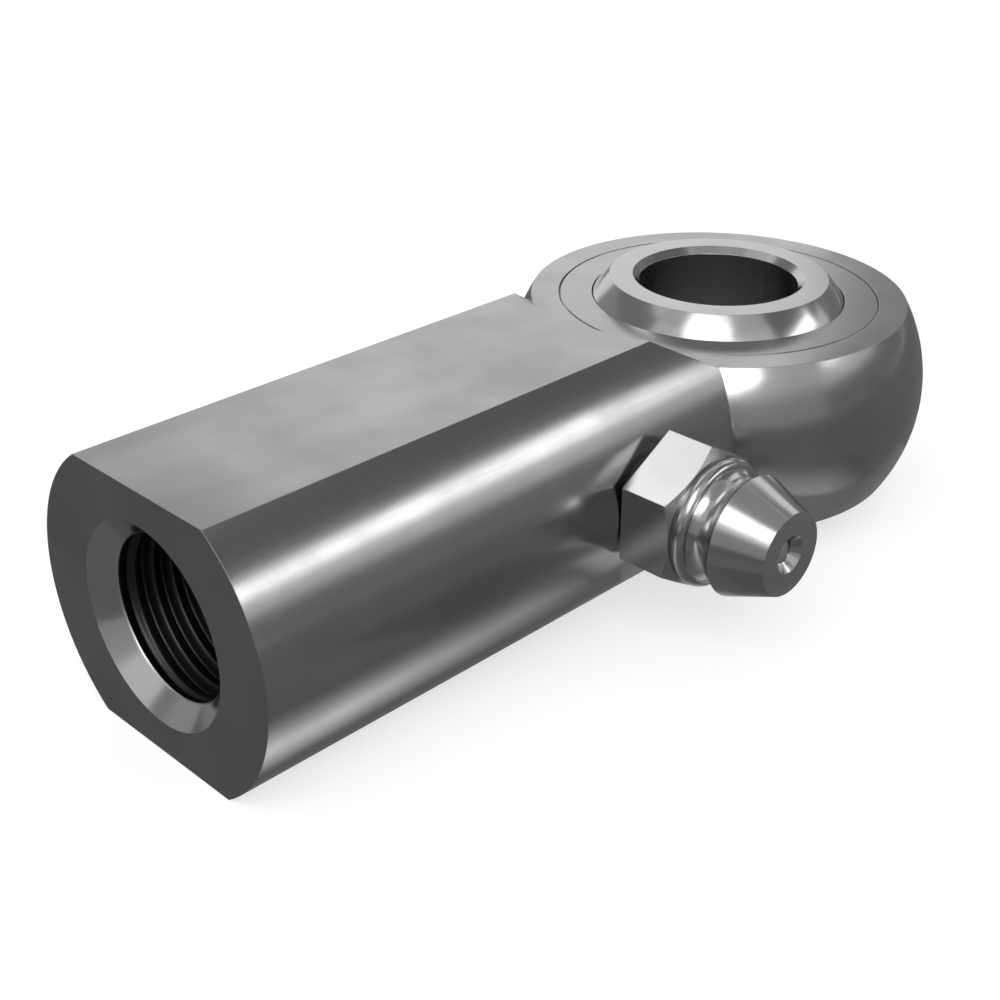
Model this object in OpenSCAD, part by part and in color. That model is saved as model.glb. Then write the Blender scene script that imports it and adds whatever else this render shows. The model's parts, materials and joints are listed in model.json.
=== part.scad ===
// Rod end with a female thread, a spherical bearing and a grease nipple.
// Origin: the centre of the ball. +Z runs along the ball's bore.
// The shank points to -X and the grease nipple to -Y.

/* [Head] */
// Diameter of the head round its middle
head_d = 25.4; // [24.6:0.05:28]
// Radius of the head's rounded side, seen in section
head_side_r = 10; // [8:0.1:12.6]
// Thickness of the head over its two flat faces
head_t = 10.31; // [9:0.01:11.5]
// Radial play between the head's bore and the race pressed into it
race_fit = 0.01; // [0.005:0.005:0.02]

/* [Shank] */
// Distance from the ball's centre to the open end of the shank
centre_to_end = 41.28; // [36:0.01:60]
// Diameter of the round shank before its flats are cut
shank_d = 17.46; // [16.6:0.01:20]
// Distance across the shank's two flats
flats_w = 14.29; // [13:0.01:15]
// Slope of the step from the flats down to the head, measured from the ball's bore axis
step_angle = 45.5; // [30:0.5:60]
// Width of the level ledge between the head's round edge and the foot of that step
step_ledge = 0.05; // [0.03:0.01:0.5]

/* [Thread] */
// Diameter of the threaded hole at the crests of its thread
thread_crest_d = 8.5; // [7:0.05:10]
// Diameter of the chamfer at the hole's mouth
mouth_d = 10.64; // [10.3:0.01:12]
// Depth of the chamfer at the hole's mouth
mouth_depth = 1.1; // [0.6:0.05:1.6]
// Angle of the drill point at the bottom of the hole
drill_angle = 118; // [90:1:140]
// Metal left between the hole's full diameter and the nipple's hole
thread_wall = 2.6; // [2.5:0.05:5]

/* [Ball] */
// Diameter of the ball
ball_d = 18.26; // [17.6:0.01:18.8]
// Width of the ball over its two flat faces
ball_w = 12.7; // [11.8:0.01:13.4]
// Diameter of the ball's bore
bore_d = 9.525; // [8:0.005:10.5]
// Width of the chamfer at each end of the ball's bore
bore_chamfer = 0.4; // [0.2:0.05:0.8]
// Radius of the rounded grease groove round the ball's middle
ball_groove_r = 0.8; // [0.5:0.05:1]
// Depth of that groove
ball_groove_depth = 0.35; // [0.2:0.05:0.45]

/* [Race] */
// Thickness of the race where it is thinnest, round the ball's middle
race_wall = 0.42; // [0.38:0.01:0.7]
// Radial play between the ball and its seat in the race
seat_play = 0.05; // [0.02:0.01:0.1]
// Chamfer on the race's outer edges
race_chamfer = 0.12; // [0.05:0.01:0.3]

/* [Grease passage] */
// Diameter of the passage drilled through the nipple's hole and the race to the ball
passage_d = 1.6; // [1:0.1:2]
// Angle between the passage and the nipple's axis
passage_angle = 45; // [42:1:56]
// Room between the slanted drill and the edge of the nipple's hole
passage_edge_gap = 0.05; // [0.02:0.01:0.2]

/* [Grease nipple] */
// Distance from the ball's centre to the nipple's axis
nipple_from_centre = 15.05; // [14.6:0.05:17]
// Distance across the flats of the nipple's hexagon
hex_w = 7.14; // [6.9:0.01:8]
// Height of the hexagon
hex_h = 3.1; // [2.4:0.05:4]
// Angle of the chamfer round the hexagon's outer end, measured from its end face
hex_chamfer_angle = 30; // [15:1:35]
// Diameter of the hexagon's round end face, inside the chamfer
hex_face_d = 7.1; // [6.7:0.05:7.2]
// Gap between the shank and the hexagon above it
hex_gap = 0.07; // [0.02:0.01:0.2]
// Diameter over the rounded collar on the hexagon
collar_d = 7; // [6.6:0.05:7.1]
// Radius of the collar's rounded edge
collar_r = 0.42; // [0.37:0.01:0.5]
// Height of the collar's middle above the hexagon
collar_rise = 0.35; // [0.3:0.01:0.36]
// Smallest diameter of the neck between collar and cone
neck_d = 5.7; // [4.6:0.05:6]
// Height of the neck's smallest place above the hexagon
neck_rise = 1.44; // [1.2:0.01:1.6]
// Diameter of the cone at its large end
cone_d = 6.56; // [6.2:0.01:6.7]
// Height of the cone's large end above the hexagon
cone_rise = 2.3; // [2.1:0.01:2.6]
// Diameter of the cone's flat tip
tip_d = 4.52; // [4:0.01:5]
// Height of the tip above the hexagon
tip_rise = 4.93; // [4.4:0.01:6]
// Diameter of the threaded stem at its pitch line
stem_d = 5.9; // [5:0.05:6.2]
// Length of the stem below the hexagon
stem_len = 4.6; // [4:0.05:5.2]
// Radial play between the stem and its tapped hole
stem_play = 0.05; // [0.02:0.01:0.08]
// Room left in the tapped hole below the stem
stem_room = 1; // [0.6:0.05:1.4]

/* [Check valve] */
// Diameter of the countersunk mouth in the nipple's tip
mouth_sink_d = 2.1; // [1.6:0.05:2.4]
// Diameter of the throat that the check ball closes
throat_d = 1.24; // [1:0.02:1.36]
// Length of the throat
throat_len = 0.06; // [0.04:0.01:0.2]
// Diameter of the check ball
check_ball_d = 2; // [1.95:0.05:2.2]
// Gap between the closed check ball and its seat
check_seat_gap = 0.01; // [0.005:0.005:0.02]
// Radial play between the check ball and its chamber
chamber_play = 0.2; // [0.12:0.01:0.3]
// Diameter of the spring's wire
spring_wire_d = 0.22; // [0.16:0.01:0.26]
// Diameter of the spring over its wire
spring_d = 1.9; // [1.8:0.05:2]
// Number of open turns between the spring's two closed ends
spring_turns = 9; // [6:1:12]
// Diameter of the opening in the lip that holds the spring
lip_d = 1.3; // [1.1:0.05:1.38]
// Thickness of that lip
lip_t = 0.4; // [0.3:0.05:0.6]
// Gap between the spring's ends and what they press on
spring_gap = 0.02; // [0.01:0.01:0.05]

/* [Hidden] */
$fn = 128;
// How far a cutting shape runs past the surface that it cuts
past = 1;

head_r = head_d / 2;
shank_r = shank_d / 2;
ball_r = ball_d / 2;
bore_r = bore_d / 2;
seat_r = ball_r + seat_play;
race_r = seat_r + race_wall;
head_bore_r = race_r + race_fit;
// The head's side is an arc, and its flat faces end where that arc meets them
head_side_at = head_r - head_side_r;
head_flat_r = head_side_at + sqrt(pow(head_side_r, 2) - pow(head_t / 2, 2));
// The step between flats and head is a cone round the ball's bore axis
step_foot_r = head_flat_r + step_ledge;

nipple_hole_r = stem_d / 2 + stem_play;
thread_crest_r = thread_crest_d / 2;
thread_end_x = -(nipple_from_centre + nipple_hole_r + thread_wall);
drill_point_h = thread_crest_r / tan(drill_angle / 2);

// Heights along the nipple's axis, counted outwards from the shank's axis
hex_foot = shank_r + hex_gap;
hex_end = hex_foot + hex_h;
stem_end = hex_foot - stem_len;
nipple_hole_end = stem_end - stem_room;
hex_corner_r = hex_w / 2 / cos(30);
collar_at = hex_end + collar_rise;
neck_at = hex_end + neck_rise;
cone_at = hex_end + cone_rise;
tip_at = hex_end + tip_rise;

neck_r = neck_d / 2;
cone_r = cone_d / 2;
neck_curve_r = (pow(cone_r - neck_r, 2) + pow(cone_at - neck_at, 2)) / (2 * (cone_r - neck_r));

// The passage is drilled through the mouth of the nipple's hole, along its far edge
passage_r = passage_d / 2;
passage_dir = [sin(passage_angle), cos(passage_angle), 0];
passage_mouth_x = -nipple_from_centre - nipple_hole_r + passage_r / cos(passage_angle) + passage_edge_gap;
passage_mouth = [passage_mouth_x, -shank_r, 0];
passage_to_middle = -passage_mouth * passage_dir;
passage_off_middle = norm(cross(passage_mouth, passage_dir));

// The mouth, the throat and the ball's seat follow one another at 45 degrees
check_r = check_ball_d / 2;
chamber_r = check_r + chamber_play;
throat_r = throat_d / 2;
throat_at = tip_at - (mouth_sink_d / 2 - throat_r);
seat_at = throat_at - throat_len;
chamber_at = seat_at - (chamber_r - throat_r);
check_ball_at = seat_at + throat_r - (check_r + check_seat_gap) * sqrt(2);

wire_r = spring_wire_d / 2;
coil_r = spring_d / 2 - wire_r;
spring_top = check_ball_at - sqrt(pow(check_r + wire_r + spring_gap, 2) - pow(coil_r, 2));
spring_foot = stem_end + lip_t + wire_r + spring_gap;
// One closed turn at each end, a wire's thickness and a little play high
closed_pitch = spring_wire_d * 1.08;
open_pitch = (spring_top - spring_foot - 2 * closed_pitch) / spring_turns;
wire_sides = 8;
steps_per_turn = 20;

// Turns a shape built along +Z so that it stands on the nipple's axis, pointing outwards
module on_nipple_axis() {
    translate([-nipple_from_centre, 0, 0]) rotate([90, 0, 0]) children();
}

// A slab of the given thickness across Z, large enough to trim the whole part
module level_slab(thickness) {
    reach = 2 * (centre_to_end + head_r);
    cube([reach, reach, thickness], center = true);
}

// Head: a thick disc with flat faces and a rounded side
module head_blank() {
    rotate_extrude() intersection() {
        translate([head_side_at, 0]) circle(r = head_side_r);
        translate([0, -head_t / 2]) square([head_r, head_t]);
    }
}

// What the cutter takes off the shank above the head: a disc with a conical rim
module head_face_cut() {
    rim_h = shank_r - head_t / 2 + past;
    rim_r = step_foot_r + rim_h * tan(step_angle);
    translate([0, 0, head_t / 2]) cylinder(h = rim_h, r1 = step_foot_r, r2 = rim_r);
}

// Shank: a round bar along X with a flat above and below
module shank_blank() {
    intersection() {
        rotate([0, -90, 0]) cylinder(h = centre_to_end, r = shank_r);
        level_slab(flats_w);
    }
}

// Blind threaded hole from the shank's open end, with its chamfer and drill point
module thread_hole() {
    hole_len = centre_to_end + thread_end_x;
    mouth_slope = (mouth_d / 2 - thread_crest_r) / mouth_depth;
    mouth_past_r = mouth_d / 2 + past * mouth_slope;
    translate([thread_end_x, 0, 0]) rotate([0, -90, 0]) cylinder(h = hole_len + past, r = thread_crest_r);
    translate([thread_end_x, 0, 0]) rotate([0, 90, 0])
        cylinder(h = drill_point_h, r1 = thread_crest_r, r2 = 0);
    translate([-centre_to_end - past, 0, 0]) rotate([0, 90, 0])
        cylinder(h = mouth_depth + past, r1 = mouth_past_r, r2 = thread_crest_r);
}

// Tapped hole for the nipple
module nipple_hole() {
    on_nipple_axis() translate([0, 0, nipple_hole_end])
        cylinder(h = shank_r - nipple_hole_end + past, r = nipple_hole_r);
}

// Slanted grease passage, from the mouth of the nipple's hole into the space that the ball fills
module passage() {
    reach = ball_r - past;
    len = passage_to_middle - sqrt(pow(reach, 2) - pow(passage_off_middle, 2));
    translate(passage_mouth) rotate([-90, 0, -passage_angle]) cylinder(h = len, r = passage_r);
}

// Forged body: rounded head and flatted shank in one piece
module housing() {
    color("lightslategray")
    difference() {
        union() {
            head_blank();
            shank_blank();
        }
        head_face_cut();
        mirror([0, 0, 1]) head_face_cut();
        cylinder(h = head_d, r = head_bore_r, center = true);
        thread_hole();
        nipple_hole();
        passage();
    }
}

// Race: a ring pressed into the head, flush with its faces, with a spherical seat inside
module race() {
    half_t = head_t / 2;
    color("silver")
    difference() {
        rotate_extrude() polygon([
            [0, -half_t],
            [race_r - race_chamfer, -half_t],
            [race_r, -half_t + race_chamfer],
            [race_r, half_t - race_chamfer],
            [race_r - race_chamfer, half_t],
            [0, half_t]
        ]);
        sphere(r = seat_r);
        passage();
    }
}

// Ball: a sphere cut flat at both ends, with a chamfered bore and a grease groove
module ball() {
    color("gainsboro")
    difference() {
        intersection() {
            sphere(r = ball_r);
            level_slab(ball_w);
        }
        cylinder(h = ball_d, r = bore_r, center = true);
        for (side = [0, 1]) mirror([0, 0, side]) translate([0, 0, ball_w / 2 - bore_chamfer])
            cylinder(h = bore_chamfer + past, r1 = bore_r, r2 = bore_r + bore_chamfer + past);
        rotate_extrude() translate([ball_r + ball_groove_r - ball_groove_depth, 0]) circle(r = ball_groove_r);
    }
}

// Hexagon with its corners up and down and a chamfer round the outer end
module nipple_hexagon() {
    chamfer_h = (hex_corner_r + past - hex_face_d / 2) * tan(hex_chamfer_angle);
    intersection() {
        translate([0, 0, hex_foot]) rotate([0, 0, 90]) cylinder(h = hex_h, r = hex_corner_r, $fn = 6);
        union() {
            translate([0, 0, hex_end - chamfer_h])
                cylinder(h = chamfer_h, r1 = hex_corner_r + past, r2 = hex_face_d / 2);
            translate([0, 0, hex_foot - past])
                cylinder(h = hex_end - chamfer_h - hex_foot + past, r = hex_corner_r + past);
        }
    }
}

// Half outline of the turned nipple: stem, rounded collar, waisted neck and cone
module nipple_outline() {
    difference() {
        polygon([
            [0, stem_end],
            [stem_d / 2, stem_end],
            [stem_d / 2, hex_foot + hex_h / 2],
            [cone_r, hex_foot + hex_h / 2],
            [cone_r, cone_at],
            [tip_d / 2, tip_at],
            [0, tip_at]
        ]);
        translate([neck_r + neck_curve_r, neck_at]) circle(r = neck_curve_r);
    }
    translate([collar_d / 2 - collar_r, collar_at]) circle(r = collar_r);
}

// Half outline of the way through the nipple: mouth, throat, seat, chamber and lip
module nipple_way() {
    polygon([
        [0, stem_end - past],
        [lip_d / 2, stem_end - past],
        [lip_d / 2, stem_end + lip_t],
        [chamber_r, stem_end + lip_t],
        [chamber_r, chamber_at],
        [throat_r, seat_at],
        [throat_r, throat_at],
        [throat_r + tip_at - throat_at + past, tip_at + past],
        [0, tip_at + past]
    ]);
}

// Grease nipple, screwed into the side of the shank
module grease_nipple() {
    color("whitesmoke")
    on_nipple_axis() difference() {
        union() {
            nipple_hexagon();
            rotate_extrude() nipple_outline();
        }
        rotate_extrude() nipple_way();
    }
}

// Check ball that closes the nipple's throat from inside
module check_ball() {
    color("white")
    on_nipple_axis() translate([0, 0, check_ball_at]) sphere(r = check_r);
}

// Height of the spring's wire after a number of turns, with a closed turn at each end
function coil_height(turn) =
    let (open = max(0, min(turn - 1, spring_turns)))
    (turn - open) * closed_pitch + open * open_pitch;

// Point on the wire's surface, at a turn of the coil and an angle round the wire
function wire_point(turn, around) =
    let (out = coil_r + wire_r * cos(around))
    [out * cos(turn * 360), out * sin(turn * 360), spring_foot + coil_height(turn) + wire_r * sin(around)];

// Coil spring that holds the check ball on its seat
module check_spring() {
    rings = (spring_turns + 2) * steps_per_turn;
    points = [for (i = [0 : rings], j = [0 : wire_sides - 1])
        wire_point(i / steps_per_turn, j * 360 / wire_sides)];
    sides = [for (i = [0 : rings - 1], j = [0 : wire_sides - 1])
        let (next = (j + 1) % wire_sides, low = i * wire_sides, high = low + wire_sides)
        [low + j, high + j, high + next, low + next]];
    first_end = [for (j = [0 : wire_sides - 1]) j];
    last_end = [for (j = [wire_sides - 1 : -1 : 0]) rings * wire_sides + j];
    color("darkgray")
    on_nipple_axis() polyhedron(points, concat(sides, [first_end, last_end]));
}

housing();
race();
ball();
grease_nipple();
check_ball();
check_spring();
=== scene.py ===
# %% [markdown]
# # A female rod end with a grease nipple
# A rod end joins the end of a rod to a pin that may lean. Its body is one steel piece: a round
# shank with two flats for a spanner and a threaded hole, and a rounded head with a bearing in it.
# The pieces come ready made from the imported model, at their real size. This script gives each of
# them its finish, cuts the thread that the solids leave out, winds the spring, and sets the scene.

import json
import math

import bmesh
import bpy
from mathutils import Matrix, Vector, kdtree

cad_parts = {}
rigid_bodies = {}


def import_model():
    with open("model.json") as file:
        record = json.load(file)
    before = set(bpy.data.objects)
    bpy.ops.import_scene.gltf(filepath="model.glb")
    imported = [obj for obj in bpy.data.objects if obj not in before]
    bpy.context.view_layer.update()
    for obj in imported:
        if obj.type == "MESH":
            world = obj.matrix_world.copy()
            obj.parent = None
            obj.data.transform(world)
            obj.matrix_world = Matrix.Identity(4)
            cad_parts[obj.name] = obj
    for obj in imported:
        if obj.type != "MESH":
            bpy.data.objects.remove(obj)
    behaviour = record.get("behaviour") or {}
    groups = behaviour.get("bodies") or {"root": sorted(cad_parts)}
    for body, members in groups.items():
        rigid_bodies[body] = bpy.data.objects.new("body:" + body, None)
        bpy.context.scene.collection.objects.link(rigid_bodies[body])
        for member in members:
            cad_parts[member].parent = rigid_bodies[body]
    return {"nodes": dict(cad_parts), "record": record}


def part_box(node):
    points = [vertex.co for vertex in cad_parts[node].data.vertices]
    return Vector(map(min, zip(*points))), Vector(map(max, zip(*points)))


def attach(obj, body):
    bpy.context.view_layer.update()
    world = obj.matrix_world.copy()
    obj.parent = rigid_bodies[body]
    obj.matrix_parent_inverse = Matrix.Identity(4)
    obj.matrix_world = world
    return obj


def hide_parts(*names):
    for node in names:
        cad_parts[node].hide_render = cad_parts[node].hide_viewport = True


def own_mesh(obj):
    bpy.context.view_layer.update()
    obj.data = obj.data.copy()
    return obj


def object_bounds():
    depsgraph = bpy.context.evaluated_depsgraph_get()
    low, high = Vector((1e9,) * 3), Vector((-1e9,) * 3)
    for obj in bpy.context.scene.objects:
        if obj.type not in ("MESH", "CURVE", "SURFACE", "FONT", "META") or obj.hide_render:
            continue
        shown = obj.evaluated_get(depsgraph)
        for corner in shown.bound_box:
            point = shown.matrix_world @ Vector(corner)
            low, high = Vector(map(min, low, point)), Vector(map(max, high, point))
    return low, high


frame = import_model()
cad_low, cad_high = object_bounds()
MM = 0.001
print("pieces:", sorted(frame["nodes"]))
print("size in mm:", [round(side / MM, 2) for side in cad_high - cad_low])

# %% [markdown]
# ## The camera
# The picture looks down on the part from the open end of the shank, a hand's width away, so near
# edges look clearly longer than far ones. That strong perspective is part of the likeness. The
# camera's place and turn were worked out from the corners and circles of the part, whose real sizes
# are known, so no shift of the lens is needed. So near a small part, the clipping distance has to
# come down as well, or Blender would cut away whatever lies closer than ten centimetres.

# %% The camera
camera_place = Vector((-73.14, -54.64, 39.75)) * MM
camera_turn = math.radians(44.95)
camera_tilt = math.radians(28.40)
lens_length = 57.0
nearest_shown = 5 * MM

camera_data = bpy.data.cameras.new("studio_camera")
camera_data.lens = lens_length
camera_data.clip_start = nearest_shown
camera = bpy.data.objects.new("studio_camera", camera_data)
bpy.context.collection.objects.link(camera)
heading = Matrix.Rotation(-camera_turn, 4, "Z")
leaning = Matrix.Rotation(math.pi / 2 - camera_tilt, 4, "X")
camera.matrix_world = Matrix.Translation(camera_place) @ heading @ leaning
bpy.context.scene.camera = camera
bpy.context.scene.view_settings.view_transform = "Standard"
print("camera to ball's centre in mm:", round(camera_place.length / MM, 1))

# %% [markdown]
# ## Small helpers for node trees
# Materials and Geometry Nodes are both trees of nodes. Writing a sum as nodes takes many lines, so
# these helpers place one node and return its output. A number and a socket can be given alike.

# %% Helpers for node trees
def plug(tree, value, socket):
    """Joins a socket to another one, or writes a plain value into it."""
    if isinstance(value, bpy.types.NodeSocket):
        tree.links.new(value, socket)
    else:
        socket.default_value = value


def add_node(tree, kind, settings=(), **inputs):
    """Places a node, sets its options, fills its inputs by name and returns it."""
    node = tree.nodes.new(kind)
    for option, value in dict(settings).items():
        setattr(node, option, value)
    for name, value in inputs.items():
        plug(tree, value, node.inputs[name.replace("_", " ")])
    return node


def work_out(tree, operation, *values):
    """One step of arithmetic as a Math node."""
    node = tree.nodes.new("ShaderNodeMath")
    node.operation = operation
    for socket, value in zip(node.inputs, values):
        plug(tree, value, socket)
    return node.outputs[0]


def spread(tree, value, low, high, new_low, new_high):
    """Carries a value from one range to another and holds it there."""
    node = add_node(tree, "ShaderNodeMapRange", Value=value)
    for name, number in (("From Min", low), ("From Max", high), ("To Min", new_low), ("To Max", new_high)):
        plug(tree, number, node.inputs[name])
    return node.outputs["Result"]


def declare(tree, direction, sockets):
    """Gives a node group its named inputs or outputs, with a starting value where one is given."""
    for name, kind, start in sockets:
        socket = tree.interface.new_socket(name, in_out=direction, socket_type=kind)
        if start is not None:
            socket.default_value = start


FLOAT, INTEGER, VECTOR = "NodeSocketFloat", "NodeSocketInt", "NodeSocketVector"
GEOMETRY, MATERIAL = "NodeSocketGeometry", "NodeSocketMaterial"

# %% [markdown]
# ## A cloudy, grained metal surface
# Satin steel is never one even grey. Seen closely it has a fine grain from the abrasive, and over a
# few millimetres it clouds a little, where it was handled or oiled. Milling and polishing also leave
# slow waves, too low to measure, that bend what the metal mirrors. All three come from noise, and
# every metal here uses them, so they are one node group: places go in, in millimetres, and masks
# from 0 to 1 come out. Stretching the places first draws grain and waves out into streaks.

# %% Node group: grain, clouds and waves
# The values between which each noise mostly lies
usual_grain = (0.25, 0.75)
usual_clouds = (0.3, 0.7)


def make_grain():
    tree = bpy.data.node_groups.new("grain_and_clouds", "ShaderNodeTree")
    declare(tree, "INPUT", [
        ("Place", VECTOR, None), ("Stretch", VECTOR, (1, 1, 1)), ("Grain Size", FLOAT, 0.1),
        ("Cloud Size", FLOAT, 5.0), ("Wave Size", FLOAT, 3.0)])
    declare(tree, "OUTPUT", [("Grain", FLOAT, None), ("Clouds", FLOAT, None), ("Waves", FLOAT, None)])
    given = tree.nodes.new("NodeGroupInput").outputs
    drawn_out = add_node(tree, "ShaderNodeVectorMath", {"operation": "MULTIPLY"})
    plug(tree, given["Place"], drawn_out.inputs[0])
    plug(tree, given["Stretch"], drawn_out.inputs[1])
    grain = add_node(
        tree, "ShaderNodeTexNoise", Vector=drawn_out.outputs[0], Detail=3.0, Roughness=0.6,
        Scale=work_out(tree, "DIVIDE", 1.0, given["Grain Size"]))
    clouds = add_node(
        tree, "ShaderNodeTexNoise", Vector=given["Place"], Detail=2.0, Roughness=0.5,
        Scale=work_out(tree, "DIVIDE", 1.0, given["Cloud Size"]))
    waves = add_node(
        tree, "ShaderNodeTexNoise", Vector=drawn_out.outputs[0], Detail=0.0,
        Scale=work_out(tree, "DIVIDE", 1.0, given["Wave Size"]))
    leaving = tree.nodes.new("NodeGroupOutput").inputs
    plug(tree, spread(tree, grain.outputs[0], *usual_grain, 0, 1), leaving["Grain"])
    plug(tree, spread(tree, clouds.outputs[0], *usual_clouds, 0, 1), leaving["Clouds"])
    plug(tree, waves.outputs[0], leaving["Waves"])
    return tree


grain_group = make_grain()
print("node group:", grain_group.name)

# %% [markdown]
# ## Rings left by the lathe
# A turned face is covered by one long spiral groove, a tenth of a millimetre from turn to turn. Seen
# from above it looks like rings that differ a little in depth. The group takes the distance along
# the tool's feed, which is the radius on a faced end and the length on a turned side. A noise that
# is read along that one distance gives rings of uneven depth, which look more real than a sine.

# %% Node group: lathe rings
def make_rings():
    tree = bpy.data.node_groups.new("lathe_rings", "ShaderNodeTree")
    declare(tree, "INPUT", [("Feed", FLOAT, None), ("Pitch", FLOAT, 0.1)])
    declare(tree, "OUTPUT", [("Ridge", FLOAT, None)])
    given = tree.nodes.new("NodeGroupInput").outputs
    ridge = add_node(
        tree, "ShaderNodeTexNoise", {"noise_dimensions": "1D"}, Detail=1.0, Roughness=0.5, Scale=1.0,
        W=work_out(tree, "DIVIDE", given["Feed"], given["Pitch"]))
    leaving = tree.nodes.new("NodeGroupOutput").inputs
    plug(tree, ridge.outputs[0], leaving["Ridge"])
    return tree


ring_group = make_rings()
print("node group:", ring_group.name)

# %% [markdown]
# ## One recipe for every metal
# The six steels differ in tone, polish and tool marks, but they are made in the same order: read
# the place in millimetres, ask the groups for clouds, grain, waves and rings, and let these change
# the colour, the roughness and a bump that is thinner than a hair. A Bevel node rounds each edge by
# a few hundredths of a millimetre, as deburring does, so that edges catch a thin line of light.
# The tool marks are a small function for each metal, because they run another way on each.

# %% The recipe for a metal
# How much the roughness changes with clouds and grain
dull_cloud, bright_cloud = 1.12, 0.9
grain_dulls = 0.02


def use_group(tree, group, **inputs):
    node = tree.nodes.new("ShaderNodeGroup")
    node.node_tree = group
    for name, value in inputs.items():
        plug(tree, value, node.inputs[name.replace("_", " ")])
    return node


def make_metal(
        name, colour, marks, roughness, uneven, edge_round, stretch=(1, 1, 1), grain=0.1, depth=0.0003,
        wavy=0.003, places=()):
    """A steel with marks(tree, x, y, z) for the height of its tool marks. Heights, the grain's size
    and edge_round are in millimetres. Each of its places has a mask(tree, x, y, z) from 0 to 1, a
    colour of its own and some more roughness."""
    material = bpy.data.materials.new(name)
    material.use_nodes = True
    tree = material.node_tree
    shader = tree.nodes["Principled BSDF"]
    in_mm = add_node(tree, "ShaderNodeVectorMath", {"operation": "SCALE"}, Scale=1 / MM)
    plug(tree, tree.nodes.new("ShaderNodeTexCoord").outputs["Object"], in_mm.inputs[0])
    apart = add_node(tree, "ShaderNodeSeparateXYZ", Vector=in_mm.outputs[0])
    surface = use_group(tree, grain_group, Place=in_mm.outputs[0], Stretch=stretch, Grain_Size=grain)
    clouds, specks = surface.outputs["Clouds"], surface.outputs["Grain"]

    tone = add_node(tree, "ShaderNodeMix", {"data_type": "RGBA"}, Factor=clouds)
    tone.inputs["A"].default_value = [channel * (1 - uneven) for channel in colour] + [1]
    tone.inputs["B"].default_value = [channel * (1 + uneven) for channel in colour] + [1]
    finish = tone.outputs["Result"]
    duller = spread(tree, clouds, 0, 1, roughness * dull_cloud, roughness * bright_cloud)
    dullness = work_out(tree, "ADD", duller, spread(tree, specks, 0, 1, -grain_dulls, grain_dulls))
    for mask, place_colour, duller_by in places:
        inside = mask(tree, *apart.outputs)
        mixed = add_node(tree, "ShaderNodeMix", {"data_type": "RGBA"}, Factor=inside, A=finish)
        mixed.inputs["B"].default_value = place_colour
        finish = mixed.outputs["Result"]
        dullness = work_out(tree, "MULTIPLY_ADD", inside, duller_by, dullness)
    plug(tree, finish, shader.inputs["Base Color"])
    plug(tree, dullness, shader.inputs["Roughness"])
    shader.inputs["Metallic"].default_value = 1.0

    ridges = marks(tree, *apart.outputs)
    uneven_height = work_out(tree, "MULTIPLY_ADD", surface.outputs["Waves"], wavy, ridges)
    height = work_out(tree, "MULTIPLY_ADD", specks, depth, uneven_height)
    rounded = add_node(tree, "ShaderNodeBevel", {"samples": 4}, Radius=edge_round * MM)
    bump = add_node(tree, "ShaderNodeBump", Height=height, Normal=rounded.outputs[0])
    bump.inputs["Distance"].default_value = MM
    plug(tree, bump.outputs[0], shader.inputs["Normal"])
    return material


def radius_of(tree, across, along):
    """Distance from an axis, from the two places measured across it."""
    return work_out(tree, "SQRT", work_out(
        tree, "ADD", work_out(tree, "MULTIPLY", across, across), work_out(tree, "MULTIPLY", along, along)))


def rings(tree, feed, pitch, depth):
    """Height in millimetres of the lathe's rings along a feed."""
    ridge = use_group(tree, ring_group, Feed=feed, Pitch=pitch).outputs["Ridge"]
    return work_out(tree, "MULTIPLY", ridge, depth)


def only_where(tree, inside, height):
    return work_out(tree, "MULTIPLY", inside, height)

# %% [markdown]
# ## The finishes
# The body's two flats are milled and rubbed along the shank, its end face and the head's faces are
# turned, and its round sides are polished. The cone at the hole's mouth is cut last and stays bright,
# and its lighter colour is partly a painted highlight. Behind it the thread is painted near black, as
# painted shade in the hole. The race is turned across its face, and the ball is ground round its bore
# until it is the smoothest large piece. The nipple comes bright from an automatic lathe. The record's
# colours are used for all of them, so that both models agree. Where a finish begins and ends is worked
# out from the record's threaded hole.

# %% Tool marks, and where they are
colours = {m["slot"]: m["base_color"] for m in frame["record"]["materials"]}
shank_end = cad_low.x / MM
head_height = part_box("race")[1].z / MM
thread = next(m for m in frame["record"]["mounts"] if m["name"] == "shank_thread")
thread_start = (thread["pos_m"][0] / MM) - thread["dims"]["length_mm"] / 2
drill_tip = thread_start + thread["dims"]["length_mm"] + thread["dims"]["r_mm"]
# In millimetres: room past the thread's crests and past the cone's wide end, the bright cone's end,
# where the painted shade in the hole begins and where it is full, and how close to a face counts as on it
past_groove, past_cone = 0.6, 0.5
thread_radius = thread["dims"]["r_mm"] + past_groove
cone_radius = thread_radius + past_cone
cone_end = thread_start - 0.02
hole_shade_from, hole_shade_full = thread_start - 0.14, thread_start - 0.04
flush = 0.01


def body_marks(tree, x, y, z):
    """Rings on the end face and on the head's faces. The streaks elsewhere come from the grain."""
    end_face = work_out(tree, "LESS_THAN", x, shank_end + flush)
    high = work_out(tree, "ABSOLUTE", z)
    head_face = work_out(tree, "COMPARE", high, head_height, flush)
    on_end = only_where(tree, end_face, rings(tree, radius_of(tree, y, z), pitch=0.16, depth=0.0006))
    on_head = only_where(tree, head_face, rings(tree, radius_of(tree, x, y), pitch=0.16, depth=0.0006))
    return work_out(tree, "ADD", on_end, on_head)


# Painted shade: this mask paints the hole's thread near black, where shade falls in the hole.
def body_hole_shade(tree, x, y, z):
    """1 inside the threaded hole, past its bright cone, where the thread is painted dark as shade."""
    oily = spread(tree, x, hole_shade_from, hole_shade_full, 0, 1)
    before_head = work_out(tree, "LESS_THAN", x, drill_tip)
    in_hole = work_out(tree, "LESS_THAN", radius_of(tree, y, z), thread_radius)
    return work_out(tree, "MULTIPLY", work_out(tree, "MULTIPLY", oily, before_head), in_hole)


# The cone's lighter colour is partly a fresh cut and partly a painted highlight.
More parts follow.
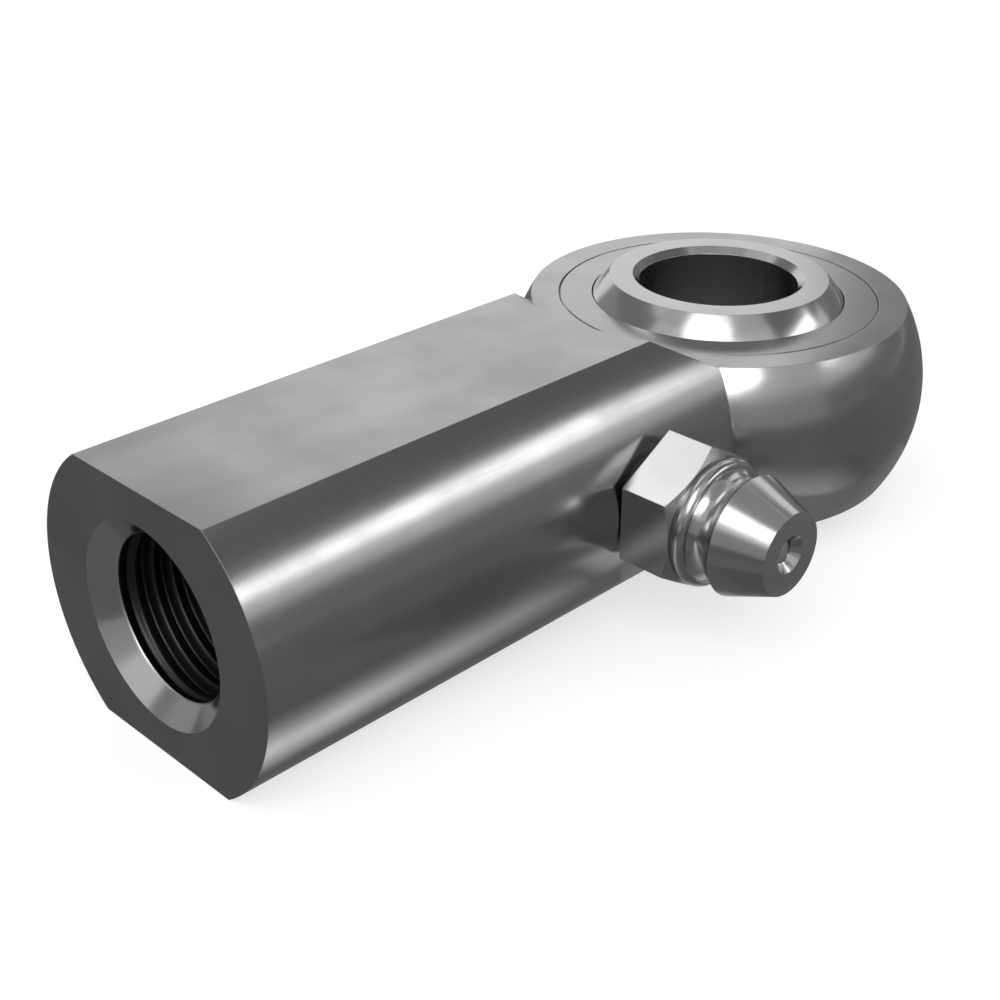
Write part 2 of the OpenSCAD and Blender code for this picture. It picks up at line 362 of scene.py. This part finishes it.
def body_cone(tree, x, y, z):
    """1 on the cone at the hole's mouth."""
    before_thread = work_out(tree, "LESS_THAN", x, cone_end)
    past_end = work_out(tree, "GREATER_THAN", x, shank_end + flush)
    inside = work_out(tree, "LESS_THAN", radius_of(tree, y, z), cone_radius)
    return work_out(tree, "MULTIPLY", work_out(tree, "MULTIPLY", before_thread, past_end), inside)


def face_marks(tree, x, y, z):
    return rings(tree, radius_of(tree, x, y), pitch=0.14, depth=0.0006)


def ball_marks(tree, x, y, z):
    return rings(tree, z, pitch=0.12, depth=0.0002)


def nipple_marks(tree, x, y, z):
    return rings(tree, y, pitch=0.1, depth=0.0004)


def no_marks(tree, x, y, z):
    return 0.0


# Where the painted shade in the hole begins, and the drill's tip
print("hole in mm: painted shade from", round(hole_shade_from, 2), "drill's tip at", round(drill_tip, 2))

# %% [markdown]
# Six calls now make the six steels. Roughness sets how sharply a steel mirrors: the spring's drawn
# wire is the dullest, and the check ball is the most polished. The body's grain and waves are drawn
# out along the shank, the way it is milled and rubbed.

# %% The six steels
# Painted shade: the thread inside the hole is painted near black, standing in for the hole's own shade.
PAINTED_HOLE_SHADE = (0.06, 0.06, 0.065, 1)
# A fresh cut's colour, raised further as a painted highlight on the mouth's cone
FRESH_CUT_AND_HIGHLIGHT = (0.65, 0.65, 0.66, 1)
dark_hole_dulls, cut_shines = 0.2, -0.02
body_steel = make_metal(
    "body_steel", colours["body_steel"], body_marks, roughness=0.2, uneven=0.1, edge_round=0.05,
    stretch=(0.12, 1, 1), grain=0.12, wavy=0.05,
    places=((body_hole_shade, PAINTED_HOLE_SHADE, dark_hole_dulls), (body_cone, FRESH_CUT_AND_HIGHLIGHT, cut_shines)))
race_steel = make_metal(
    "race_steel", colours["race_steel"], face_marks, roughness=0.2, uneven=0.04, edge_round=0.03)
ball_steel = make_metal(
    "ball_steel", colours["ball_steel"], ball_marks, roughness=0.17, uneven=0.03, edge_round=0.04)
nipple_steel = make_metal(
    "nipple_steel", colours["nipple_steel"], nipple_marks, roughness=0.18, uneven=0.04, edge_round=0.05)
check_steel = make_metal(
    "check_ball_steel", colours["check_ball_steel"], no_marks, roughness=0.12, uneven=0.02,
    edge_round=0.01)
spring_steel = make_metal(
    "spring_steel", colours["spring_steel"], no_marks, roughness=0.3, uneven=0.04, edge_round=0.01)
for node, metal in (
        ("race", race_steel), ("ball", ball_steel),
        ("grease_nipple", nipple_steel), ("check_ball", check_steel)):
    frame["nodes"][node].material_slots[0].material = metal
    print(node, "gets", metal.name)

# %% [markdown]
# ## Room for the thread
# The solid's hole is smooth, because a fine thread is drawn here. A CAD node's own mesh must not
# change, so the body is copied, its loose triangles are merged, and the walls of the hole are taken
# out. What stays is an open shell with one round edge, at the hole's mouth. The hole's sizes are
# measured on that shell rather than typed in again.

# %% Copy the body and open its hole
housing = frame["nodes"]["housing"]
weld = 1e-7
touching = 0.02 * MM
exactly = touching / 10


def from_shank_axis(place):
    return math.hypot(place.y, place.z)


body = bmesh.new()
body.from_mesh(housing.data)
bmesh.ops.remove_doubles(body, verts=body.verts, dist=weld)
crest = thread["dims"]["r_mm"] * MM
mouth_x = min(v.co.x for v in body.verts)
mouth = min(from_shank_axis(v.co) for v in body.verts if v.co.x < mouth_x + touching)
tip_x = max(v.co.x for v in body.verts if from_shank_axis(v.co) < touching)
wall = [v.co.x for v in body.verts if abs(from_shank_axis(v.co) - crest) < touching and v.co.x < tip_x]
hole_faces = [
    f for f in body.faces
    if all(from_shank_axis(v.co) < mouth + touching and v.co.x < tip_x + touching for v in f.verts)
    and any(v.co.x > mouth_x + touching for v in f.verts)]
bmesh.ops.delete(body, geom=hole_faces, context="FACES")
rim = [v for v in body.verts if v.is_boundary]
first_angle = min(math.atan2(v.co.z, v.co.y) for v in rim)
print("hole: crest r", round(crest / MM, 3), "mouth r", round(mouth / MM, 3), "wall from",
      round(min(wall) / MM, 2), "to", round(max(wall) / MM, 2), "tip", round(tip_x / MM, 2),
      "rim corners", len(rim))

# %% [markdown]
# ## The thread
# A tap cuts one V-shaped groove that climbs a pitch in each turn. At any place in the hole the
# wall's distance from the axis follows from two numbers, how deep in the hole it is and how far
# round, so the whole hole can be one grid that is rolled up by a formula. Geometry Nodes suit that:
# the sizes stay inputs. The larger of the mouth's cone and the groove wins, so the thread runs out
# into the cone as a tap leaves it, and the smaller of that and the drill's point closes the end.

# %% Geometry Nodes: the threaded hole
# Shares of the pitch: half the flat at the groove's root, and one flank
root_share = 0.08
flank_share = 0.28
# The groove gets shallower over this many last turns, and deeper over this many first ones
last_turns = 1.5
first_turns = 1.0
# The grid reaches this far to both sides, and the root lies this far into a turn
grid_half = 0.5
root_at = 0.5


def make_thread_tree():
    tree = bpy.data.node_groups.new("threaded_hole", "GeometryNodeTree")
    declare(tree, "INPUT", [
        ("Rows", INTEGER, 100), ("Columns", INTEGER, 60), ("First Angle", FLOAT, 0.0),
        ("Mouth Place", FLOAT, 0.0), ("Tip Place", FLOAT, 0.01), ("Mouth Radius", FLOAT, 0.005),
        ("Cone End", FLOAT, 0.001), ("Crest Radius", FLOAT, 0.004), ("Groove Depth", FLOAT, 0.0005),
        ("Pitch", FLOAT, 0.001), ("Thread End", FLOAT, 0.01), ("Point Slope", FLOAT, 1.6),
        ("Metal", MATERIAL, None)])
    declare(tree, "OUTPUT", [("Geometry", GEOMETRY, None)])
    given = tree.nodes.new("NodeGroupInput").outputs

    def do(operation, *values):
        return work_out(tree, operation, *values)

    grid = add_node(
        tree, "GeometryNodeMeshGrid", Size_X=1.0, Size_Y=1.0, Vertices_X=given["Rows"],
        Vertices_Y=do("ADD", given["Columns"], 1))
    position = tree.nodes.new("GeometryNodeInputPosition").outputs[0]
    spot = add_node(tree, "ShaderNodeSeparateXYZ", Vector=position)
    depth_share = do("ADD", spot.outputs["X"], grid_half)
    turn = do("ADD", spot.outputs["Y"], grid_half)
    angle = do("MULTIPLY_ADD", turn, math.tau, given["First Angle"])
    hole_length = do("SUBTRACT", given["Tip Place"], given["Mouth Place"])
    x = do("MULTIPLY_ADD", depth_share, hole_length, given["Mouth Place"])

    cone_length = do("SUBTRACT", given["Cone End"], given["Mouth Place"])
    cone_share = do("DIVIDE", do("SUBTRACT", given["Cone End"], x), cone_length)
    cone_depth = do("MULTIPLY", cone_share, do("SUBTRACT", given["Mouth Radius"], given["Crest Radius"]))

    climbed = do("SUBTRACT", do("DIVIDE", x, given["Pitch"]), do("DIVIDE", angle, math.tau))
    from_root = do("ABSOLUTE", do("SUBTRACT", do("FRACT", climbed), root_at))
    groove = spread(tree, from_root, root_share, root_share + flank_share, 1, 0)
    before_end = do("DIVIDE", do("SUBTRACT", given["Thread End"], x), given["Pitch"])
    past_cone = do("DIVIDE", do("SUBTRACT", x, given["Cone End"]), given["Pitch"])
    run_out = spread(tree, before_end, 0, last_turns, 0, 1)
    run_in = spread(tree, past_cone, 0, first_turns, 0, 1)
    groove_share = do("MULTIPLY", groove, do("MINIMUM", run_out, run_in))
    groove_depth = do("MULTIPLY", groove_share, given["Groove Depth"])

    cut = do("MAXIMUM", cone_depth, groove_depth)
    wall_radius = do("ADD", given["Crest Radius"], cut)
    point_radius = do("MULTIPLY", do("SUBTRACT", given["Tip Place"], x), given["Point Slope"])
    radius = do("MINIMUM", wall_radius, point_radius)
    place = add_node(
        tree, "ShaderNodeCombineXYZ", X=x, Y=do("MULTIPLY", radius, do("COSINE", angle)),
        Z=do("MULTIPLY", radius, do("SINE", angle)))
    rolled = add_node(
        tree, "GeometryNodeSetPosition", Geometry=grid.outputs["Mesh"], Position=place.outputs[0])
    closed = add_node(
        tree, "GeometryNodeMergeByDistance", Geometry=rolled.outputs[0], Distance=weld)
    real = add_node(tree, "GeometryNodeRealizeInstances", Geometry=closed.outputs[0])
    dressed = add_node(
        tree, "GeometryNodeSetMaterial", Geometry=real.outputs[0], Material=given["Metal"])
    plug(tree, dressed.outputs[0], tree.nodes.new("NodeGroupOutput").inputs["Geometry"])
    return tree


thread_tree = make_thread_tree()
print("tree:", thread_tree.name, len(thread_tree.nodes), "nodes")

# %% [markdown]
# A tree becomes a plain mesh in three steps: put it on an empty mesh as a modifier, write its
# inputs, each by the socket's own identifier, and take a new mesh from the evaluated object. The
# thread is a 3/8-24: 24 turns an inch, 9.525 mm across at the bottom of its groove.

# %% Run a tree and keep its mesh
def grow(tree, name, **inputs):
    """Runs a Geometry Nodes tree once and returns the plain mesh that it makes."""
    holder = bpy.data.objects.new(name, bpy.data.meshes.new(name))
    bpy.context.collection.objects.link(holder)
    modifier = holder.modifiers.new("tree", "NODES")
    modifier.node_group = tree
    for item in tree.interface.items_tree:
        if item.item_type == "SOCKET" and item.in_out == "INPUT":
            key = item.name.replace(" ", "_")
            if key in inputs:
                modifier[item.identifier] = inputs[key]
    evaluated = holder.evaluated_get(bpy.context.evaluated_depsgraph_get())
    mesh = bpy.data.meshes.new_from_object(evaluated)
    bpy.data.objects.remove(holder)
    return mesh


inch = 25.4 * MM
turns_per_inch = 24
thread_size = 0.375
pitch = inch / turns_per_inch
groove_radius = thread_size * inch / 2
rows_per_pitch = 16
hole_length = tip_x - mouth_x
thread_mesh = grow(
    thread_tree, "thread_grid", Rows=round(hole_length / pitch * rows_per_pitch), Columns=len(rim),
    First_Angle=first_angle, Mouth_Place=mouth_x, Tip_Place=tip_x, Mouth_Radius=mouth,
    Cone_End=min(wall), Crest_Radius=crest, Groove_Depth=groove_radius - crest, Pitch=pitch,
    Thread_End=max(wall), Point_Slope=crest / (tip_x - max(wall)), Metal=body_steel)
print("thread:", len(thread_mesh.polygons), "faces,", round((max(wall) - min(wall)) / pitch, 1), "turns")

# %% [markdown]
# ## Join thread and body
# The grid has as many columns as the open edge has corners, so the two close without a gap once
# they are merged. Merging loses the exact shading that the CAD faces brought along. It is given
# back corner by corner: each new corner takes the normal of the nearest old corner of the nearest
# old face, and the thread's own corners are left to Blender.

# %% Close a shell and give its shading back
rim_weld = 10 * weld


def close_with(shell, mesh):
    """Adds a mesh to a bmesh, merges what touches and turns every face outwards."""
    shell.from_mesh(mesh)
    bmesh.ops.remove_doubles(shell, verts=shell.verts, dist=rim_weld)
    bmesh.ops.recalc_face_normals(shell, faces=shell.faces)
    for face in shell.faces:
        face.smooth = True
    for edge in shell.edges:
        on_mouth = all(abs(v.co.x - mouth_x) < exactly for v in edge.verts)
        at_rim = all(abs(from_shank_axis(v.co) - mouth) < exactly for v in edge.verts)
        edge.smooth = not (on_mouth and at_rim)
    return sum(1 for edge in shell.edges if not edge.is_manifold)


def give_back_normals(mesh, source, mine):
    """Copies corner normals from a CAD mesh to each face of a merged copy that mine(face) allows."""
    finder = kdtree.KDTree(len(source.polygons))
    for face in source.polygons:
        finder.insert(face.center, face.index)
    finder.balance()
    normals = [Vector() for _ in mesh.loops]
    for face in mesh.polygons:
        if not mine(face):
            continue
        old = source.polygons[finder.find(face.center)[1]]
        for corner in face.loop_indices:
            place = mesh.vertices[mesh.loops[corner].vertex_index].co
            nearest = min(
                old.loop_indices,
                key=lambda c: (source.vertices[source.loops[c].vertex_index].co - place).length)
            normals[corner] = source.corner_normals[nearest].vector.copy()
    mesh.normals_split_custom_set(normals)

# %% [markdown]
# The body's own faces are those past the tip of the hole, those farther from its axis than the mouth
# and those of the end face. The closed body then stands in for the CAD piece in the picture, and it
# moves with the same body of the simulation.

# %% Join thread and body
def outside_the_hole(face):
    place = face.center
    return place.x > tip_x or from_shank_axis(place) > mouth or place.x < mouth_x + weld


open_edges = close_with(body, thread_mesh)
body_mesh = bpy.data.meshes.new("body_with_thread")
body.to_mesh(body_mesh)
body.free()
body_mesh.materials.clear()
body_mesh.materials.append(body_steel)
give_back_normals(body_mesh, housing.data, outside_the_hole)
threaded_body = bpy.data.objects.new("threaded_body", body_mesh)
bpy.context.collection.objects.link(threaded_body)
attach(threaded_body, "body")
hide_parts("housing")
print("body:", len(body_mesh.polygons), "faces, edges that aren't closed:", open_edges)

# %% [markdown]
# ## The check spring
# The spring behind the check ball is wire, closed at both ends so that it stands flat. A wire
# follows a path, so the path is worked out point by point along a line and a round profile is swept
# along it. It has nine open turns and one closed turn at each end.

# %% Geometry Nodes: the check spring
# Closed turns at each end, and corners round the wire
end_turns = 1.0
wire_corners = 12


def make_spring_tree():
    tree = bpy.data.node_groups.new("coil_spring", "GeometryNodeTree")
    declare(tree, "INPUT", [
        ("Axis Place", FLOAT, 0.0), ("Foot Place", FLOAT, 0.0), ("Coil Radius", FLOAT, 0.001),
        ("Wire Radius", FLOAT, 0.0001), ("Open Turns", FLOAT, 9.0), ("Open Pitch", FLOAT, 0.001),
        ("Closed Pitch", FLOAT, 0.0002), ("Steps", INTEGER, 300), ("Metal", MATERIAL, None)])
    declare(tree, "OUTPUT", [("Geometry", GEOMETRY, None)])
    given = tree.nodes.new("NodeGroupInput").outputs

    def do(operation, *values):
        return work_out(tree, operation, *values)

    line = add_node(tree, "GeometryNodeMeshLine", Count=given["Steps"])
    step = tree.nodes.new("GeometryNodeInputIndex").outputs[0]
    all_turns = do("ADD", given["Open Turns"], 2 * end_turns)
    turn = do("MULTIPLY", do("DIVIDE", step, do("SUBTRACT", given["Steps"], 1)), all_turns)
    opened = do("MINIMUM", do("MAXIMUM", do("SUBTRACT", turn, end_turns), 0.0), given["Open Turns"])
    closed = do("SUBTRACT", turn, opened)
    rise = do("MULTIPLY_ADD", opened, given["Open Pitch"], do("MULTIPLY", closed, given["Closed Pitch"]))
    angle = do("MULTIPLY", turn, math.tau)
    place = add_node(
        tree, "ShaderNodeCombineXYZ",
        X=do("MULTIPLY_ADD", do("COSINE", angle), given["Coil Radius"], given["Axis Place"]),
        Y=do("SUBTRACT", given["Foot Place"], rise),
        Z=do("MULTIPLY", do("SINE", angle), given["Coil Radius"]))
    path = add_node(
        tree, "GeometryNodeSetPosition", Geometry=line.outputs["Mesh"], Position=place.outputs[0])
    curve = add_node(tree, "GeometryNodeMeshToCurve", Mesh=path.outputs[0])
    section = add_node(
        tree, "GeometryNodeCurvePrimitiveCircle", Resolution=wire_corners, Radius=given["Wire Radius"])
    wire = add_node(
        tree, "GeometryNodeCurveToMesh", Curve=curve.outputs[0], Profile_Curve=section.outputs[0])
    wire.inputs["Fill Caps"].default_value = True
    smooth = add_node(tree, "GeometryNodeSetShadeSmooth", Geometry=wire.outputs[0])
    real = add_node(tree, "GeometryNodeRealizeInstances", Geometry=smooth.outputs[0])
    dressed = add_node(
        tree, "GeometryNodeSetMaterial", Geometry=real.outputs[0], Material=given["Metal"])
    plug(tree, dressed.outputs[0], tree.nodes.new("NodeGroupOutput").inputs["Geometry"])
    return tree


spring_tree = make_spring_tree()
print("tree:", spring_tree.name, len(spring_tree.nodes), "nodes")

# %% [markdown]
# The solid's coil is coarse, but its box gives the fine one its place, length and width.

# %% Wind the spring
spring_low, spring_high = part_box("check_spring")
wire_radius = 0.11 * MM
open_turns = 9
steps_a_turn = 28
# A closed turn climbs by little more than the wire's thickness
closed_gap = 1.08
closed_pitch = 2 * wire_radius * closed_gap
spring_length = spring_high.y - spring_low.y - 2 * wire_radius
spring_mesh = grow(
    spring_tree, "check_spring_wire", Axis_Place=(spring_low.x + spring_high.x) / 2,
    Foot_Place=spring_high.y - wire_radius, Coil_Radius=(spring_high.x - spring_low.x) / 2 - wire_radius,
    Wire_Radius=wire_radius, Open_Turns=float(open_turns), Closed_Pitch=closed_pitch,
    Open_Pitch=(spring_length - 2 * closed_pitch) / open_turns,
    Steps=round(open_turns + 2 * end_turns) * steps_a_turn, Metal=spring_steel)
spring = bpy.data.objects.new("check_spring_wire", spring_mesh)
bpy.context.collection.objects.link(spring)
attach(spring, "body")
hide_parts("check_spring")
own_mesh(spring)
full_length = spring_high.y - spring_low.y
print("spring:", len(spring_mesh.polygons), "faces, length in mm", round(full_length / MM, 2))

# %% [markdown]
# ## Floor, background and light
# The part lies on white paper under soft light. Polished metal shows its surroundings more than its
# own colour, so in a studio it is lit by what it can see: wide soft lamps for the bright bands and
# dark cards for the dark ones. The white behind the part costs no extra light: rays that come from
# the camera, from metal or from glass find a world of strength 1, and all other rays find less.

# %% The white room
def seen_directly(tree):
    """1 for rays of the camera and for rays that metal or glass sends on, and 0 for the rest."""
    path = tree.nodes.new("ShaderNodeLightPath").outputs
    mirrored = work_out(tree, "MAXIMUM", path["Is Glossy Ray"], path["Is Transmission Ray"])
    return work_out(tree, "MAXIMUM", path["Is Camera Ray"], mirrored)


WHITE = (1, 1, 1, 1)
room_light = 0.62
world = bpy.data.worlds.new("white_room")
world.use_nodes = True
bpy.context.scene.world = world
sky = world.node_tree.nodes["Background"]
sky.inputs["Color"].default_value = WHITE
strength = spread(world.node_tree, seen_directly(world.node_tree), 0, 1, room_light, 1.0)
plug(world.node_tree, strength, sky.inputs["Strength"])
print("room light:", room_light)

# %% [markdown]
# The paper is two materials in one. The first is plain and pale, and it keeps the part's shadow. The
# second is a glow that only the same rays as above find. It grows with the distance, so that far
# paper runs into the background without a line. From below the paper is clear, or it would hide the
# part's lower side from a camera down there.

# %% The white paper
PLAIN_PAPER = (0.5, 0.5, 0.5, 1)
paper_glow = 0.62
near_paper, far_paper = 0.25, 0.6
paper = bpy.data.materials.new("white_paper")
paper.use_nodes = True
nodes = paper.node_tree
nodes.nodes.clear()
plain = add_node(nodes, "ShaderNodeBsdfDiffuse", Color=PLAIN_PAPER)
glow = add_node(nodes, "ShaderNodeEmission", Color=WHITE)
paper_place = nodes.nodes.new("ShaderNodeTexCoord").outputs["Object"]
spot = add_node(nodes, "ShaderNodeSeparateXYZ", Vector=paper_place)
distance = radius_of(nodes, spot.outputs["X"], spot.outputs["Y"])
own_glow = spread(nodes, distance, near_paper, far_paper, paper_glow, 1.0)
plug(nodes, work_out(nodes, "MULTIPLY", seen_directly(nodes), own_glow), glow.inputs["Strength"])
both = nodes.nodes.new("ShaderNodeAddShader")
plug(nodes, plain.outputs[0], both.inputs[0])
plug(nodes, glow.outputs[0], both.inputs[1])
from_below = nodes.nodes.new("ShaderNodeNewGeometry").outputs["Backfacing"]
clear = nodes.nodes.new("ShaderNodeBsdfTransparent")
sides = nodes.nodes.new("ShaderNodeMixShader")
plug(nodes, from_below, sides.inputs[0])
plug(nodes, both.outputs[0], sides.inputs[1])
plug(nodes, clear.outputs[0], sides.inputs[2])
plug(nodes, sides.outputs[0], nodes.nodes.new("ShaderNodeOutputMaterial").inputs["Surface"])
print("paper glow:", paper_glow, "and 1 from", far_paper, "m on")

# %% [markdown]
# Lamps and cards are placed as on a globe round the part: a compass direction, counted from +Y
# towards +X, and a height above the horizon, both in degrees. Each card is a curved patch of that
# globe. Only mirror rays meet the cards, so none of them takes light from the paper or the part, and
# none of them shows in the picture. A card's tone can fade to dark along X or Y, or along both.

# %% Make a card
dark_tone = 0.14
tent_radius = 0.63
patch_steps = 8


def on_globe(compass, height, distance):
    turn, lift = math.radians(compass), math.radians(height)
    across = math.cos(lift)
    direction = Vector((math.sin(turn) * across, math.cos(turn) * across, math.sin(lift)))
    return direction * distance


def make_sheet(name, rows, material):
    """A surface through rows of points, which is part of the studio and not of the object."""
    across = len(rows[0])
    faces = [
        (i * across + j, i * across + j + 1, (i + 1) * across + j + 1, (i + 1) * across + j)
        for i in range(len(rows) - 1) for j in range(across - 1)]
    mesh = bpy.data.meshes.new(name)
    mesh.from_pydata([point for row in rows for point in row], [], faces)
    mesh.materials.append(material)
    sheet = bpy.data.objects.new(name, mesh)
    bpy.context.collection.objects.link(sheet)
    return sheet


def make_card(name, rows, tone, fades=()):
    """A card of one tone. Each fade has an axis, the place where the tone is full and the one where
    the card is dark."""
    paint = bpy.data.materials.new(name)
    paint.use_nodes = True
    tree = paint.node_tree
    tree.nodes.clear()
    shade = add_node(tree, "ShaderNodeEmission", Color=WHITE, Strength=tone)
    card_place = tree.nodes.new("ShaderNodeTexCoord").outputs["Object"]
    place = add_node(tree, "ShaderNodeSeparateXYZ", Vector=card_place)
    left = 1.0
    for axis, bright_at, dark_at in fades:
        share = spread(tree, place.outputs[axis], bright_at, dark_at, 1, 0)
        left = work_out(tree, "MULTIPLY", left, share)
    if fades:
        plug(tree, spread(tree, left, 0, 1, dark_tone, tone), shade.inputs["Strength"])
    plug(tree, shade.outputs[0], tree.nodes.new("ShaderNodeOutputMaterial").inputs["Surface"])
    card = make_sheet(name, rows, paint)
    card.visible_camera = False
    card.visible_diffuse = False
    card.visible_shadow = False
    card.visible_transmission = False


def globe_rows(compass_from, compass_to, low, high):
    shares = [k / patch_steps for k in range(patch_steps + 1)]
    wide, tall = compass_to - compass_from, high - low
    return [
        [on_globe(compass_from + wide * u, low + tall * v, tent_radius) for u in shares]
        for v in shares]


def level_rows(x_from, x_to, y_from, y_to, height):
    return [[(x, y, height) for x in (x_from, x_to)] for y in (y_from, y_to)]


print("a card is", round(tent_radius / MM), "mm away and has", patch_steps ** 2, "faces")

# %% [markdown]
# Together the cards of the globe make a grey tent with one window at the back, through which the
# metal sees the white room. Each part of the object mirrors its own part of the tent: the front
# cards show in the cone of the threaded hole, the cone cards in the nipple's cone, the back cards in
# the flat on top, and the cards on the right in the sides of shank and head.

# %% The tent
# Compass from and to, height from and to, all in degrees, and tone
tent = {
    "front_card": (-112, 8, -1, 24, 0.32),
    "front_left_high_card": (-104, -60, 24, 46, 0.6),
    "cone_card": (-122, -104, 24, 32, 0.95),
    "cone_high_card": (-122, -104, 32, 46, 1.6),
    "cone_low_card": (-122, -112, -1, 24, 0.3),
    "front_high_card": (-60, 8, 24, 46, 0.22),
    "left_corner_card": (-137, -122, -1, 46, 0.2),
    "left_card": (-190, -137, -1, 16, 0.35),
    "left_high_card": (-190, -137, 16, 46, 0.6),
    "back_left_card": (8, 30, -1, 27, 0.93),
    "back_left_high_card": (8, 30, 27, 46, 0.42),
    "back_card": (30, 58, -1, 29.5, 0.93),
    "back_high_card": (30, 52, 29.5, 46, 0.52),
    "back_corner_card": (58, 72, -1, 26, 0.36),
    "back_corner_high_card": (58, 67, 26, 46, 0.15),
    "back_middle_high_card": (52, 58, 29.5, 46, 0.15),
    "low_right_card": (72, 170, -1, 14, 0.2),
    "right_card": (72, 112, 14, 26, 0.24),
    "glow_card": (112, 170, 14, 24, 0.7),
    "behind_strip_card": (92, 170, 24, 34, 0.2),
    "high_right_card": (92, 170, 34, 62, 0.16),
    "high_left_card": (-190, -60, 46, 62, 0.5),
    "high_back_card": (-60, 92, 46, 62, 0.6),
    "top_card": (-180, 180, 62, 90, 0.35)}
for name, (compass_from, compass_to, low, high, tone) in tent.items():
    make_card(name, globe_rows(compass_from, compass_to, low, high), tone)
print("cards in the tent:", len(tent))

# %% [markdown]
# The lower half of a round shank mirrors the paper that it lies on. White paper would turn it white,
# so dark cards lie there. Light still gets in beside the shank, and two bright cards that fade bring
# it back, with smaller ones below the head and the nipple.

# %% The paper and the cards on it
floor_height = cad_low.z
paper_reach = 1.5
whole_paper = level_rows(-paper_reach, paper_reach, -paper_reach, paper_reach, floor_height)
make_sheet("paper_floor", whole_paper, paper)
front = cad_low.x
past_head = 0.0015
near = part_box("housing")[1].y + past_head
far = 0.45
layer_step = 0.03 * MM
# x from and to, y from and to, tone and fades; a later card lies on an earlier one
floor_cards = {
    "front_floor_card": (-far, front, -far, far, 0.13, ()),
    "side_floor_card": (front, far, -far, far, 0.17, ()),
    "under_floor_card": (-0.02, 0.012, -near, near, 0.22, ()),
    "nipple_floor_card": (-0.026, -0.012, -0.027, -0.0145, 0.12, ()),
    "left_gap_card": (front, -0.0145, -0.0150, -0.006, 1.25, (
        ("X", -0.041, -0.0145), ("Y", -0.0093, -0.0150), ("Y", -0.0093, -0.0140), ("Y", -0.0093, -0.0070))),
    "right_gap_card": (front, -0.0145, 0.006, 0.0150, 1.25, (
        ("X", -0.041, -0.0145), ("Y", 0.0093, 0.0150), ("Y", 0.0093, 0.0140), ("Y", 0.0093, 0.0070))),
    "head_gap_card": (-0.013, 0.004, -0.023, -0.0145, 0.42, (("Y", -0.0155, -0.022), ("X", -0.002, 0.004))),
    "nipple_gap_card": (-0.0170, -0.0050, -0.0138, -0.0080, 0.5, (
        ("X", -0.0150, -0.0170), ("X", -0.0085, -0.0050), ("Y", -0.0120, -0.0138), ("Y", -0.0095, -0.0080)))}
for layer, (name, (x_from, x_to, y_from, y_to, tone, fades)) in enumerate(floor_cards.items(), 1):
    card_height = floor_height + layer * layer_step
    make_card(name, level_rows(x_from, x_to, y_from, y_to, card_height), tone, fades)
print("cards on the paper:", len(floor_cards))

# %% [markdown]
# The first lamp is the large soft one over the camera's left shoulder. The second gives the long
# bright line along the shank, the third is the round one that the side of the head mirrors, and the
# last stands high behind the part, where the nipple's hexagon mirrors it in its upper face. What the
# metal shows of a lamp is its brightness, so that is given, and the power follows from the area.

# %% Lamps
lamp_distance = 0.6


def seen_width(degrees):
    return 2 * lamp_distance * math.tan(math.radians(degrees) / 2)


def add_lamp(name, compass, height, wide, tall, brightness, shape="RECTANGLE"):
    """An area lamp that faces the part; wide and tall are the degrees that it fills, seen from there."""
    lamp = bpy.data.lights.new(name, "AREA")
    lamp.shape = shape
    lamp.size, lamp.size_y = seen_width(wide), seen_width(tall)
    lamp.energy = brightness * math.pi * lamp.size * lamp.size_y
    holder = bpy.data.objects.new(name, lamp)
    bpy.context.collection.objects.link(holder)
    place = on_globe(compass, height, lamp_distance)
    holder.matrix_world = Matrix.Translation(place) @ (-place).to_track_quat("-Z", "Y").to_matrix().to_4x4()


# Compass, height, degrees wide and tall, brightness, and shape if it isn't a rectangle
for lamp in (
        ("high_softbox", -119, 51, 64, 26, 1.8),
        ("shank_strip", 146, 29, 44, 9, 2.5),
        ("side_lamp", -140, 32, 27, 22, 2.2, "ELLIPSE"),
        ("back_strip", -6, 55, 24, 11, 1.15)):
    add_lamp(*lamp)
